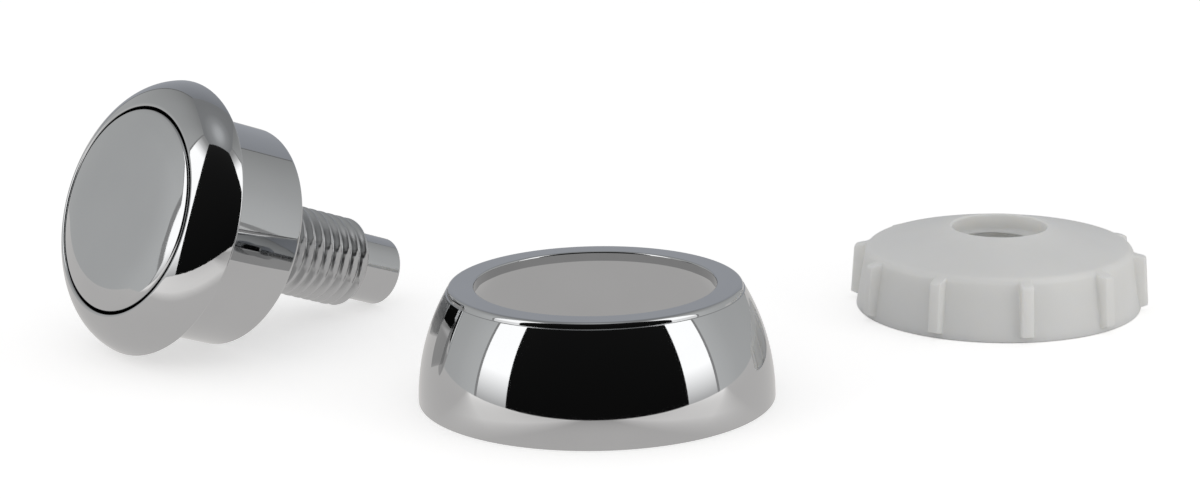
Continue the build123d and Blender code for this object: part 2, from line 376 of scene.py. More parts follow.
def put_in(name, surfaces, material, body, smooth_angle=40.0):
    """One closed mesh from grids of points and their quads, joined where they meet, riding on a body."""
    counts = np.cumsum([0] + [len(points) for points, quads in surfaces])
    points = np.vstack([points for points, quads in surfaces])
    quads = np.vstack([quads + start for (points_, quads), start in zip(surfaces, counts)])
    mesh = bpy.data.meshes.new(name)
    mesh.from_pydata(points.tolist(), [], quads.tolist())
    shell = bmesh.new()
    shell.from_mesh(mesh)
    bmesh.ops.remove_doubles(shell, verts=shell.verts, dist=WELD)
    bmesh.ops.recalc_face_normals(shell, faces=shell.faces)
    shell.to_mesh(mesh)
    shell.free()
    mesh.shade_smooth()
    mesh.set_sharp_from_angle(angle=math.radians(smooth_angle))
    mesh.materials.append(material)
    piece = add_object(name, mesh)
    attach(piece, body)
    return piece


def unit_place(sizes):
    """The button unit's axis, from its body's mount: the station is measured from the bezel's front."""
    mount = MOUNTS["unit_body"]
    along = np.array(mount["axis"], float)
    front = np.array(mount["pos_m"]) - along * (sizes.bezel_height + mount["dims"]["length_mm"] * MM / 2)
    across = np.cross((0.0, 0.0, 1.0), along)
    return Place(front, along, across)


def unit_stations(sizes, stem):
    """Stations along the button unit that its pieces share."""
    body_rear = sizes.bezel_height + MOUNTS["unit_body"]["dims"]["length_mm"] * MM + sizes.body_rear_round
    thread_stop = body_rear + stem.thread_length
    stem_end = thread_stop + stem.end_length
    guide_floor = stem_end - sizes.pocket_length
    boss_end = sizes.button_set_back + sizes.boss_length
    return {
        "body_rear": body_rear,
        "cup_floor": body_rear - sizes.cup_floor,
        "thread_stop": thread_stop,
        "stem_end": stem_end,
        "guide_floor": guide_floor,
        "guide_start": guide_floor - sizes.guide_length,
        "button_under": sizes.button_under,
        "boss_end": boss_end,
        "spring_boss_end": boss_end + JOINT["range_m"][1] + sizes.stop_gap,
    }


# Finishes

TONE_RANGE = (0.3, 0.7)
PLATE_ROUGHNESS = (0.015, 0.05)
BUTTON_ROUGHNESS = (0.02, 0.06)
MASK_FADE = 0.5 * MM


def feed(tree, node, inputs):
    """Set a node's inputs, given by name or number, to a value or to the output that feeds them."""
    for key, value in inputs.items():
        if isinstance(value, bpy.types.NodeSocket):
            tree.links.new(value, node.inputs[key])
        else:
            node.inputs[key].default_value = value


def add_node(tree, kind, inputs, operation=None):
    """A new node with its operation and its inputs set."""
    node = tree.nodes.new("ShaderNode" + kind)
    if operation:
        node.operation = operation
    feed(tree, node, inputs)
    return node


def new_material(name):
    """A new node material, with its node tree and its Principled shader."""
    material = bpy.data.materials.new(name)
    material.use_nodes = True
    return material, material.node_tree, material.node_tree.nodes["Principled BSDF"]


def object_point(tree):
    """The point of the surface in object coordinates."""
    return add_node(tree, "TexCoord", {}).outputs["Object"]


def noise(tree, point, scale, detail, roughness=0.5):
    """A noise texture on a point."""
    inputs = {"Vector": point, "Scale": scale, "Detail": detail, "Roughness": roughness}
    return add_node(tree, "TexNoise", inputs).outputs["Fac"]


def mottled(tree, source, base, darkest, lightest):
    """A colour that a grey source takes from a darker to a lighter share of itself, kept below 1."""
    node = add_node(tree, "ValToRGB", {"Fac": source})
    for element, place, factor in zip(node.color_ramp.elements, TONE_RANGE, (darkest, lightest)):
        element.position = place
        element.color = (*(min(channel * factor, 1.0) for channel in base), 1.0)
    return node.outputs["Color"]


def spread(tree, source, low, high, start=0.0, end=1.0):
    """A grey source mapped from one range to another."""
    inputs = {"Value": source, "From Min": start, "From Max": end, "To Min": low, "To Max": high}
    return add_node(tree, "MapRange", inputs).outputs["Result"]


def bump(tree, height, distance, strength):
    """A bump from a grey height."""
    inputs = {"Height": height, "Distance": distance, "Strength": strength}
    return add_node(tree, "Bump", inputs).outputs["Normal"]


def along_axis(tree, point, axis, start, end):
    """A mask that is 1 between two stations along an axis and fades to 0 at both ends."""
    station = add_node(tree, "VectorMath", {0: point, 1: tuple(axis)}, "DOT_PRODUCT").outputs["Value"]
    rise = spread(tree, station, 0.0, 1.0, start, start + MASK_FADE)
    fall = spread(tree, station, 0.0, 1.0, end, end - MASK_FADE)
    return add_node(tree, "Math", {0: rise, 1: fall}, "MULTIPLY").outputs["Value"]


def chrome_finish(name, base, roughness, dull=None):
    """Bright chrome plate: cloudy tone, fine polishing haze and the faint waviness of plated plastic.

    A dull stretch (axis, start, end, roughness) is plated less smoothly.
    """
    material, tree, shader = new_material(name)
    point = object_point(tree)
    cloud = noise(tree, point, scale=60.0, detail=3.0)
    haze = noise(tree, point, scale=900.0, detail=4.0, roughness=0.6)
    wave = noise(tree, point, scale=160.0, detail=1.0)
    rough = spread(tree, haze, *roughness)
    if dull:
        inputs = {0: along_axis(tree, point, *dull[:3]), 1: dull[3], 2: rough}
        rough = add_node(tree, "Math", inputs, "MULTIPLY_ADD").outputs["Value"]
    feed(tree, shader, {
        "Metallic": 1.0,
        "Base Color": mottled(tree, cloud, base, darkest=0.975, lightest=1.02),
        "Roughness": rough,
        "Normal": bump(tree, wave, distance=0.02 * MM, strength=0.06),
    })
    return material


def grained_finish(name, base, cloud, shades, grain, roughness, relief, inputs):
    """A cloudy tone, and a fine grain in the roughness and the surface.

    Cloud and grain are noises (scale, detail, roughness), shades are the darkest and lightest share
    of the colour, relief is the grain's depth and strength, and inputs are other shader settings.
    """
    material, tree, shader = new_material(name)
    point = object_point(tree)
    fine = noise(tree, point, *grain)
    feed(tree, shader, {
        "Base Color": mottled(tree, noise(tree, point, *cloud), base, *shades),
        "Roughness": spread(tree, fine, *roughness),
        "Normal": bump(tree, fine, *relief),
        **inputs,
    })
    return material


def nut_finish(name, base):
    """Satin white plastic that lets a little light through, with cloudy flow and a fine moulded grain."""
    return grained_finish(
        name, base, cloud=(45.0, 3.0, 0.5), shades=(0.97, 1.02), grain=(2400.0, 3.0, 0.6),
        roughness=(0.38, 0.52), relief=(0.02 * MM, 0.25),
        inputs={
            "Subsurface Weight": 0.6,
            "Subsurface Radius": (1.0, 0.95, 0.85),
            "Subsurface Scale": 4.0 * MM,
            "Specular IOR Level": 0.4,
        },
    )


def rod_finish(name, base):
    """Natural acetal: slightly mottled, with fine turning lines."""
    return grained_finish(
        name, base, cloud=(300.0, 2.0, 0.5), shades=(0.95, 1.03), grain=(3000.0, 2.0, 0.5),
        roughness=(0.32, 0.48), relief=(0.01 * MM, 0.2), inputs={},
    )


def steel_finish(name, base):
    """Drawn steel: streaky tone and satin roughness."""
    return grained_finish(
        name, base, cloud=(700.0, 4.0, 0.6), shades=(0.85, 1.08), grain=(5000.0, 2.0, 0.5),
        roughness=(0.22, 0.38), relief=(0.005 * MM, 0.2), inputs={"Metallic": 1.0},
    )


# Pieces, with the number of points round or along them

RING_ANGLES = 288
BUTTON_ANGLES = 240
DOME_POINTS = 49
WIRE_SIDES = 14
WIRE_STEPS = 48


def ring_outline(sizes):
    """The ring's section: domed wall, ledge, rounded rim, flat top, lip, inner dome and foot."""
    lean = sizes.base_radius - sizes.top_radius
    dome = (lean**2 + sizes.height**2) / (2 * lean)
    centre = sizes.base_radius - dome
    foot = math.asin(sizes.edge_round / dome)
    ledge = sizes.height - sizes.rim_height
    ledge_radius = centre + math.sqrt(dome**2 - ledge**2)
    rim_foot = ledge_radius - sizes.rim_ledge
    rim_top = rim_foot - sizes.rim_height * math.tan(sizes.rim_lean)
    lip = sizes.height - sizes.lip_height
    inner = dome - sizes.wall
    inner_top = centre + math.sqrt(inner**2 - lip**2)
    wall = arc((centre, 0.0), dome, foot, math.asin(ledge / dome), steps=64)
    return np.vstack([
        wall[:-2],
        rounded([
            tuple(wall[-2]) + (0.0,),
            (ledge_radius, ledge, sizes.edge_round),
            (rim_foot, ledge, sizes.edge_round / 2),
            (rim_top, sizes.height, sizes.rim_round),
            (sizes.opening_radius, sizes.height, sizes.lip_round),
            (sizes.opening_radius, lip, sizes.edge_round),
            (inner_top, lip, 0.0),
        ], steps=10),
        arc((centre, 0.0), inner, math.asin(lip / inner), 0.0, steps=24)[1:],
        rounded([
            (sizes.base_radius - sizes.wall, 0.0, 0.0),
            (sizes.base_radius, 0.0, sizes.edge_round),
            (centre + dome * math.cos(foot), dome * math.sin(foot), 0.0),
        ])[1:-1],
    ])


class ACTUATOR_OT_dress_ring(Operator):
    """Make the chromed dress ring"""

    bl_idname = "actuator.dress_ring"
    bl_label = "Dress Ring"

    def execute(self, context):
        sizes = context.scene.actuator_ring
        place = Place((0.0, 0.0, 0.0), (0.0, 0.0, 1.0), (1.0, 0.0, 0.0))
        surface = sheet(turned(place, ring_outline(sizes), full_turn(RING_ANGLES)), True, True)
        finish = chrome_finish("chrome_ring_plate", context.scene.actuator_finishes.chrome, PLATE_ROUGHNESS)
        ring = put_in("dress_ring_plated", [surface], finish, "actuator")
        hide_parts("dress_ring")
        return {"FINISHED"}


# Thread: the least width of its section's runs, the spacing of the angles round it and its dull stretch
LEAST_RUN = 0.02 * MM
EVEN_SPACING = 2.5
LEAST_SPACING = 0.004
FLAT_OVERLAP = 1.1
FLAT_ANGLES = 49
LEAST_COSINE = 1e-3
DULL_INSET = 0.2 * MM


def thread_section(stem):
    """One pitch of the thread from root to root: (axial distance from the crest's middle, radius)."""
    root = stem.thread_radius - stem.depth
    foot = (stem.pitch - stem.root) / 2
    crest = stem.crest / 2
    half = stem.pitch / 2
    corners = [
        (-half, root, 0.0),
        (-foot, root, stem.corner_round),
        (-crest, stem.thread_radius, stem.corner_round),
        (crest, stem.thread_radius, stem.corner_round),
        (foot, root, stem.corner_round),
        (half, root, 0.0),
    ]
    points = rounded(corners, steps=2)
    keep = np.r_[True, np.diff(points[:, 0]) > LEAST_RUN]
    return points[keep]


def crest_station(place, stem, stations):
    """Station of the thread's crest at angle 0, measured on the packed housing."""
    mesh = frame["nodes"]["housing"].data
    points = np.empty(len(mesh.vertices) * 3, np.float32)
    mesh.vertices.foreach_get("co", points)
    radius, station, angle = place.measures(points.reshape(-1, 3).astype(float))
    on_crest = np.abs(radius - stem.thread_radius) < NEAR
    on_crest &= station > stations["body_rear"] + stem.pitch
    on_crest &= station < stations["thread_stop"] - 2 * stem.pitch
    turns = station[on_crest] / stem.pitch * TURN - angle[on_crest]
    return math.atan2(np.sin(turns).mean(), np.cos(turns).mean()) / TURN * stem.pitch


def thread_radius_at(stem, section, crest, station, angle, stop):
    """Radius of the stem's surface: the thread, cut by its end chamfer and by the two parting flats."""
    distance = station - crest - stem.pitch * angle / TURN
    distance = (distance + stem.pitch / 2) % stem.pitch - stem.pitch / 2
    radius = np.interp(distance, section[:, 0], section[:, 1])
    slope = (stem.thread_radius - stem.end_radius) / stem.chamfer
    radius = np.minimum(radius, stem.end_radius + (stop - station) * slope)
    return np.minimum(radius, stem.flat_radius / np.maximum(np.abs(np.cos(angle)), LEAST_COSINE))


def stem_angles(stem):
    """Angles round the unit, closer together where the parting flats meet the thread."""
    even = np.radians(np.arange(0.0, 360.0, EVEN_SPACING))
    reach = math.acos(stem.flat_radius / stem.thread_radius)
    near = np.linspace(-FLAT_OVERLAP * reach, FLAT_OVERLAP * reach, FLAT_ANGLES)
    angles = np.concatenate([even, near % TURN, near + math.pi])
    angles = np.unique(np.round(angles, 6))
    return angles[np.r_[True, np.diff(angles) > LEAST_SPACING]]


def housing_outline(sizes, stem, stations):
    """The turned part of the housing: from the stem's foot by body, bezel and bores to the stem's end."""
    opening = sizes.body_radius - sizes.body_wall
    lip = sizes.bezel_lip_round
    crisp = sizes.edge_round
    lean, tilt = sizes.bezel_face_lean, sizes.bezel_side_lean
    down_side = np.array([-math.sin(tilt), -math.cos(tilt)])
    rear_reach = sizes.bezel_rear_round * math.tan((math.pi / 2 + tilt) / 2)
    side = np.array([sizes.bezel_radius, sizes.bezel_height]) + rear_reach * down_side
    rear = rounded([
        (stem.thread_radius + stem.corner_round, stations["body_rear"], 0.0),
        (sizes.body_radius, stations["body_rear"], sizes.body_rear_round),
        (sizes.body_radius, sizes.bezel_height, crisp),
        (sizes.bezel_radius, sizes.bezel_height, sizes.bezel_rear_round),
        (side[0], side[1], 0.0),
    ], steps=10)
    edge = arc((opening + lip, lip), lip, lean - math.pi / 2, -math.pi, steps=16)
    slope = sizes.bezel_face_reach * np.array([math.cos(lean), math.sin(lean)])
    face = bezier(side, side + sizes.bezel_side_reach * down_side, edge[0] + slope, edge[0], steps=72)
    inside = rounded([
        (opening, lip, 0.0),
        (opening, stations["cup_floor"], crisp),
        (sizes.spring_boss_radius, stations["cup_floor"], crisp),
        (sizes.spring_boss_radius, stations["spring_boss_end"], crisp),
        (sizes.core_radius, stations["spring_boss_end"], crisp),
        (sizes.core_radius, stations["guide_start"], crisp),
        (sizes.guide_radius, stations["guide_start"], crisp),
        (sizes.guide_radius, stations["guide_floor"], crisp),
        (sizes.pocket_radius, stations["guide_floor"], crisp),
        (sizes.pocket_radius, stations["stem_end"], crisp),
        (stem.end_radius, stations["stem_end"], stem.end_round),
        (stem.end_radius, stations["thread_stop"], 0.0),
    ])
    return np.vstack([rear, face[1:], edge[1:], inside[1:]])


def thread_strip(place, stem, section, crest, angles, foot, stop):
    """The thread as one strip wound round the axis: along it the angle grows, across it one pitch."""
    first = math.floor((foot - crest - stem.pitch) / stem.pitch)
    last = math.ceil((stop - crest + stem.pitch) / stem.pitch)
    winding = (np.arange(first, last)[:, None] * TURN + angles[None, :]).ravel()
    station = crest + stem.pitch * winding[:, None] / TURN + section[None, :, 0]
    station = np.clip(station, foot, stop)
    angle = np.repeat(winding[:, None], len(section), axis=1)
    radius = thread_radius_at(stem, section, crest, station, angle, stop)
    return place.points(radius, station, angle)


class ACTUATOR_OT_housing(Operator):
    """Make the chromed housing with its bezel, body and threaded stem"""

    bl_idname = "actuator.housing"
    bl_label = "Housing"

    def execute(self, context):
        sizes = context.scene.actuator_unit
        stem = context.scene.actuator_stem
        place = unit_place(sizes)
        stations = unit_stations(sizes, stem)
        foot, stop = stations["body_rear"], stations["thread_stop"]
        angles = stem_angles(stem)
        section = thread_section(stem)
        crest = crest_station(place, stem, stations)
        start_radius = thread_radius_at(stem, section, crest, foot, angles, stop)
        start = place.points(start_radius, np.full(len(angles), foot), angles)
        body = turned(place, housing_outline(sizes, stem, stations), angles)
        shell = sheet(np.concatenate([start[None], body]), False, True)
        ridge = sheet(thread_strip(place, stem, section, crest, angles, foot, stop), False, False)
        zero = place.origin @ place.axis
        dull = (place.axis, zero + foot + DULL_INSET, zero + stop - DULL_INSET, stem.dullness)
        finish = chrome_finish(
            "chrome_plate", context.scene.actuator_finishes.chrome, PLATE_ROUGHNESS, dull
        )
        housing = put_in("housing_plated", [shell, ridge], finish, "actuator")
        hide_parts("housing")
        return {"FINISHED"}


def button_outline(sizes, stations):
    """The button's section: domed face, band, shoulder, edge, skirt, underside, boss and the rod's seat."""
    radius = sizes.body_radius - sizes.body_wall - sizes.button_gap
    edge = sizes.button_edge_round
    edge_width = edge * (1.0 - math.sin(sizes.shoulder_lean))
    dome_radius = radius - sizes.band_width - sizes.shoulder_width - edge_width
    # Dome: its slope grows with a power of the radius, so its station is that power's integral
    r = np.linspace(0.0, dome_radius, DOME_POINTS)
    fall = math.tan(sizes.dome_lean) * r * (r / dome_radius) ** sizes.dome_power / (sizes.dome_power + 1.0)
    front = [np.stack([r, fall], axis=1)]
    point = front[0][-1]
    # Each arc goes on from the last slope to its own: its radius is its width over the sine's change
    widths = (sizes.band_width, sizes.shoulder_width, edge_width)
    leans = (sizes.dome_lean, sizes.band_lean, sizes.shoulder_lean, math.pi / 2)
    for width, lean, next_lean in zip(widths, leans, leans[1:]):
        bend = width / (math.sin(next_lean) - math.sin(lean))
        centre = point + bend * np.array([-math.sin(lean), math.cos(lean)])
        front.append(arc(centre, bend, lean - math.pi / 2, next_lean - math.pi / 2, steps=16)[1:])
        point = front[-1][-1]
    front = np.vstack(front)
    front[:, 1] += sizes.button_edge - point[1]
    crisp = sizes.edge_round
    skirt_end = sizes.button_set_back + sizes.button_skirt
    rod_start = stations["boss_end"] - sizes.rod_depth
    back = rounded([
        (radius, sizes.button_edge, 0.0),
        (radius, skirt_end, crisp),
        (radius - sizes.button_wall, skirt_end, crisp),
        (radius - sizes.button_wall, stations["button_under"], crisp),
        (sizes.boss_radius, stations["button_under"], crisp),
        (sizes.boss_radius, stations["boss_end"], crisp),
        (sizes.rod_radius, stations["boss_end"], crisp),
        (sizes.rod_radius, rod_start, crisp),
        (0.0, rod_start, 0.0),
    ])
    return np.vstack([front, back[1:]])


class ACTUATOR_OT_button(Operator):
    """Make the chromed button and dress the push rod and its clip"""

    bl_idname = "actuator.button"
    bl_label = "Button"

    def execute(self, context):
        sizes = context.scene.actuator_unit
        finishes = context.scene.actuator_finishes
        place = unit_place(sizes)
        stations = unit_stations(sizes, context.scene.actuator_stem)
        surface = sheet(turned(place, button_outline(sizes, stations), full_turn(BUTTON_ANGLES)), False, True)
        plate = chrome_finish("chrome_button_plate", finishes.chrome, BUTTON_ROUGHNESS)
        cap = put_in("button_cap_plated", [surface], plate, "button")
        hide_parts("button_cap")
        frame["nodes"]["push_rod"].data.materials[0] = rod_finish("natural_acetal", finishes.rod)
        frame["nodes"]["retaining_clip"].data.materials[0] = steel_finish("clip_steel", finishes.steel)
        return {"FINISHED"}


class ACTUATOR_OT_return_spring(Operator):
    """Make the return spring of round wire"""

    bl_idname = "actuator.return_spring"
    bl_label = "Return Spring"

    def execute(self, context):
        sizes = context.scene.actuator_unit
        spring = context.scene.actuator_spring
        place = unit_place(sizes)
        stations = unit_stations(sizes, context.scene.actuator_stem)
        inset = spring.wire_radius + spring.seat_gap
        start = stations["button_under"] + inset
        rise = stations["cup_floor"] - inset - start
        # The wire's round section, carried along a helix: radius and station swing round the centre line
        along = np.linspace(0.0, 1.0, int(spring.turns * WIRE_STEPS) + 1)
        along = np.concatenate([[0.0], along, [1.0]])
        thickness = np.full(len(along), spring.wire_radius)
        thickness[[0, -1]] = 0.0
        around = full_turn(WIRE_SIDES)
        radius = spring.mean_radius + thickness[:, None] * np.cos(around)
        station = start + rise * along[:, None] + thickness[:, None] * np.sin(around)
        angle = np.repeat((TURN * spring.turns * along)[:, None], len(around), axis=1)
        surface = sheet(place.points(radius, station, angle), False, True)
        finish = steel_finish("spring_wire", context.scene.actuator_finishes.steel)
        coil = put_in("return_spring_wire", [surface], finish, "actuator")
        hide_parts("return_spring")
        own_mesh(coil)
        return {"FINISHED"}


# Nut: squareness and reach of the ribs, shape and ends of the thread ridge, spacing of the points
RIB_SQUARENESS = 22.0
RIB_LEVELS = (0.999, 0.97, 0.88, 0.7, 0.5, 0.3, 0.12, 0.03, 0.001)
RIB_INSET = 2.4 * MM
RIB_FOOT_FADE = 0.05 * MM
RIB_TOP_FADE = 0.12 * MM
RIDGE_WIDTH = 0.62
RIDGE_FLANK = 0.34
RIDGE_LEAD = -0.1
RIDGE_LEAD_FADE = 0.04
RIDGE_END_RISE = 0.8 * MM
RIDGE_END_FADE = 0.15 * MM
RIB_GAP_ANGLES = 13
NUT_SMOOTH_ANGLE = 60.0
NUT_CRISP = 0.15 * MM
BORE_SPACING = 0.16 * MM
SKIRT_SPACING = 0.25 * MM


def step(values, edge, softness):
    """A soft step from 0 to 1 at an edge."""
    return 1.0 / (1.0 + np.exp(-(values - edge) / softness))


def nut_outline(nut):
    """The nut's section: skirt, rounded edge, cone, mouth, bore, hub, underside and inner skirt."""
    rate = (nut.hub_height - nut.skirt_height) / (nut.skirt_top_radius - nut.bore_radius)
    under = nut.skirt_height - nut.wall
    hub = nut.bore_radius + nut.hub_wall
    inner_top = nut.skirt_top_radius - nut.wall
    return rounded([
        (nut.base_radius - nut.wall, 0.0, 0.0),
        (nut.base_radius, 0.0, 2 * NUT_CRISP),
        (nut.skirt_top_radius, nut.skirt_height, nut.edge_round),
        (nut.bore_radius, nut.hub_height, nut.lip_round),
        (nut.bore_radius, nut.hub_foot, NUT_CRISP),
        (hub, nut.hub_foot, NUT_CRISP),
        (hub, under + rate * (inner_top - hub), NUT_CRISP),
        (inner_top, under, NUT_CRISP),
        (nut.base_radius - nut.wall, 0.0, 0.0),
    ], steps=10)[:-1]


def middles(outline):
    """The midpoints of an outline's runs."""
    return (outline[:-1] + outline[1:]) / 2


def fill_runs(outline, spacing, chosen):
    """More points along the chosen runs of an outline, at most a spacing apart."""
    filled = [outline[:1]]
    for start, end, fill in zip(outline, outline[1:], chosen):
        count = 1
        if fill:
            count = max(1, math.ceil(np.linalg.norm(end - start) / spacing))
        filled.append(start + (end - start) * np.arange(1, count + 1)[:, None] / count)
    return np.vstack(filled)


def rib_angles(nut):
    """Angles round the nut: close together on a rib's flanks, even between the ribs."""
    levels = np.array(RIB_LEVELS)
    flank = nut.rib_half_width * (1.0 / levels - 1.0) ** (1.0 / RIB_SQUARENESS) / nut.base_radius
    pitch = TURN / nut.rib_count
    between = np.linspace(flank[-1], pitch - flank[-1], RIB_GAP_ANGLES)[1:-1]
    one = np.concatenate([[0.0], flank, between, pitch - flank[::-1]])
    return (nut.rib_turn + np.arange(nut.rib_count)[:, None] * pitch + one[None, :]).ravel()


def with_ribs(nut, outline, radius, height, angle):
    """Radius with the grip ribs: a soft box round the skirt, standing out to a line from foot to top."""
    pitch = TURN / nut.rib_count
    across = ((angle - nut.rib_turn + pitch / 2) % pitch - pitch / 2) * nut.base_radius
    on_rib = 1.0 / (1.0 + np.abs(across / nut.rib_half_width) ** RIB_SQUARENESS)
    ends = step(height, nut.rib_foot_height, RIB_FOOT_FADE) * step(-height, -nut.rib_top_height, RIB_TOP_FADE)
    climb = (height - nut.rib_foot_height) / (nut.rib_top_height - nut.rib_foot_height)
    foot_face = nut.base_radius + nut.rib_foot_out
    top_face = nut.skirt_top_radius + nut.rib_top_out
    face = foot_face + (top_face - foot_face) * climb
    outside = (np.arange(len(outline)) < np.argmax(outline[:, 1]))[:, None]
    outside = outside & (radius > nut.base_radius - RIB_INSET)
    return np.where(outside, radius + (face - radius) * on_rib * ends, radius)


def with_ridge(nut, pitch, outline, radius, height, angle):
    """Radius with the thread ridge: it stands in from the bore, fades in and follows the pitch."""
    turns = (nut.hub_height - nut.ridge_start - height) / pitch
    turns_at = turns + (angle - nut.ridge_turn) / TURN
    swing = np.abs((turns_at + 0.5) % 1.0 - 0.5) * 2.0
    ridge = np.clip((RIDGE_WIDTH - swing) / RIDGE_FLANK, 0.0, 1.0)
    lead = step(turns, RIDGE_LEAD, RIDGE_LEAD_FADE)
    ridge *= lead * step(height, nut.hub_foot + RIDGE_END_RISE, RIDGE_END_FADE)
    bore = np.abs(outline[:, 0] - nut.bore_radius)[:, None] < NEAR
    return np.where(bore, radius - nut.ridge_height * ridge, radius)


class ACTUATOR_OT_back_nut(Operator):
    """Make the white ribbed back nut with the thread in its hole"""

    bl_idname = "actuator.back_nut"
    bl_label = "Back Nut"

    def execute(self, context):
        nut = context.scene.actuator_nut
        hole = MOUNTS["nut_hole"]["pos_m"]
        place = Place((hole[0], hole[1], 0.0), (0.0, 0.0, 1.0), (1.0, 0.0, 0.0))
        outline = nut_outline(nut)
        outline = fill_runs(outline, BORE_SPACING, middles(outline)[:, 0] < nut.bore_radius + NEAR)
        middle = middles(outline)
        on_skirt = (middle[:, 0] > nut.skirt_top_radius - nut.edge_round) & (middle[:, 1] > 0.0)
        outline = fill_runs(outline, SKIRT_SPACING, on_skirt)
        radius, angle = np.meshgrid(outline[:, 0], rib_angles(nut), indexing="ij")
        height = np.repeat(outline[:, 1][:, None], angle.shape[1], axis=1)
        radius = with_ribs(nut, outline, radius, height, angle)
        radius = with_ridge(nut, context.scene.actuator_stem.pitch, outline, radius, height, angle)
        surface = sheet(place.points(radius, height, angle), True, True)
        finish = nut_finish("white_moulding", context.scene.actuator_finishes.nut)
        piece = put_in("back_nut_moulded", [surface], finish, "actuator", NUT_SMOOTH_ANGLE)
        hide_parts("back_nut")
        return {"FINISHED"}


# Stage: brightness along the room as stops of (millimetres, brightness), tints and fixed sizes

PANEL_UP = [(0, 0.006), (300, 0.012), (700, 0.02)]
STRIP_UP = [(0, 0.62), (30, 1.1), (70, 1.75), (400, 1.75), (520, 0.8), (640, 0.45), (700, 0.4)]
WALL_BACK = [(-80, 0.72), (0, 0.65), (50, 0.60), (100, 0.58), (200, 0.56), (300, 0.53), (520, 0.48)]
WALL_UP = [(0, 1.0), (150, 1.0), (300, 0.88), (500, 0.74), (700, 0.62)]
BACK_UP = [(0, 0.42), (154, 0.46), (300, 0.445), (500, 0.40), (700, 0.35)]
LINE_UP = [(0, 0.36), (700, 0.28)]
FOLD_UP = [(0, 0.24), (700, 0.20)]
ROOF_OUT = [(0, 0.66), (60, 0.62), (150, 0.42), (260, 0.32), (420, 0.30), (700, 0.30)]
# The floor's glow in the chrome is painted light: darker toward the front, a little lighter to the sides, and with
# painted shade inside the ring
FLOOR_BACK = [(-150, 0.50), (-90, 0.56), (-45, 0.65), (-15, 0.68), (60, 0.66), (520, 0.66)]
FLOOR_SIDE = [(0, 1.0), (60, 1.0), (150, 1.03), (300, 1.06)]
FLOOR_PAINTED_SHADE_OUT = [(0, 0.89), (23, 0.89), (28, 1.0), (600, 1.0)]
# A painted pool of light on the floor in front of the ring, out at both sides, that only the chrome shows
PAINTED_SPILL_BACK = [(-150, 1.0), (-27, 1.0), (-11, 0.0), (520, 0.0)]
PAINTED_SPILL_SIDE = [(0, 0.0), (18, 0.0), (38, 0.32), (110, 0.40), (230, 0.55), (300, 0.55)]
NEUTRAL = (1.0, 1.0, 1.0)
WALL_TINT = (0.985, 1.0, 1.0)
BACK_TINT = (0.89, 0.925, 1.0)
ROOF_TINT = (0.96, 0.98, 1.0)
SKY_TINT = (0.985, 0.99, 1.0)
SEAM_WIDTH = 10.0 * MM
FLOOR_REACH = 6.0
SENSOR_WIDTH = 36.0
NEAR_CLIP = 0.01
FAR_CLIP = 50.0


def room_axis(tree, axis):
    """A coordinate of the room: X, Y or Z, the distance to the side, or the distance from the middle."""
    point = object_point(tree)
    if axis == "middle":
        flat = add_node(tree, "VectorMath", {0: point, 1: (1.0, 1.0, 0.0)}, "MULTIPLY")
        return add_node(tree, "VectorMath", {0: flat.outputs["Vector"]}, "LENGTH").outputs["Value"]
    split = add_node(tree, "SeparateXYZ", {"Vector": point})
    if axis != "side":
        return split.outputs[axis]
    return add_node(tree, "Math", {0: split.outputs["X"]}, "ABSOLUTE").outputs["Value"]


def level(tree, axis, stops):
    """A brightness that runs through stops of (millimetres, brightness) along an axis of the room."""
    first, last = stops[0][0], stops[-1][0]
    spot = spread(tree, room_axis(tree, axis), 0.0, 1.0, first * MM, last * MM)
    node = add_node(tree, "ValToRGB", {"Fac": spot})
    elements = node.color_ramp.elements
    for at, brightness in stops[1:-1]:
        elements.new((at - first) / (last - first))
    for element, (at, brightness) in zip(elements, stops):
        element.color = (brightness, brightness, brightness, 1.0)
    return node.outputs["Color"]


def glow(tree, tint, fades):
    """A glow whose strength is the product of its levels, each given as (axis, stops)."""
    strength = level(tree, *fades[0])
    for fade in fades[1:]:
        inputs = {0: strength, 1: level(tree, *fade)}
        strength = add_node(tree, "Math", inputs, "MULTIPLY").outputs["Value"]
    shader = add_node(tree, "Emission", {"Color": (*tint, 1.0), "Strength": strength})
    return shader.outputs["Emission"]


def both(tree, first, second):
    """Two shaders added."""
    return add_node(tree, "AddShader", {0: first, 1: second}).outputs["Shader"]


def either(tree, choice, when_0, when_1):
    """One of two shaders, by a choice of 0 or 1."""
    return add_node(tree, "MixShader", {"Fac": choice, 1: when_0, 2: when_1}).outputs["Shader"]


def card(name, corners, tint, *fades):
    """A flat studio card that only shows in reflections."""
    mesh = bpy.data.meshes.new(name)
    mesh.from_pydata([tuple(corner) for corner in corners], [], [tuple(range(len(corners)))])
    material, tree, shader = new_material(name)
    tree.nodes.remove(shader)
    feed(tree, tree.nodes["Material Output"], {"Surface": glow(tree, tint, fades)})
    mesh.materials.append(material)
    piece = add_object(name, mesh)
    piece.visible_camera = False
    piece.visible_diffuse = False
    piece.visible_shadow = False
    piece.visible_transmission = False


def upright(x0, y0, x1, y1, low, high):
    """Corners of an upright card from one floor point to another."""
    return [(x0, y0, low), (x1, y1, low), (x1, y1, high), (x0, y0, high)]


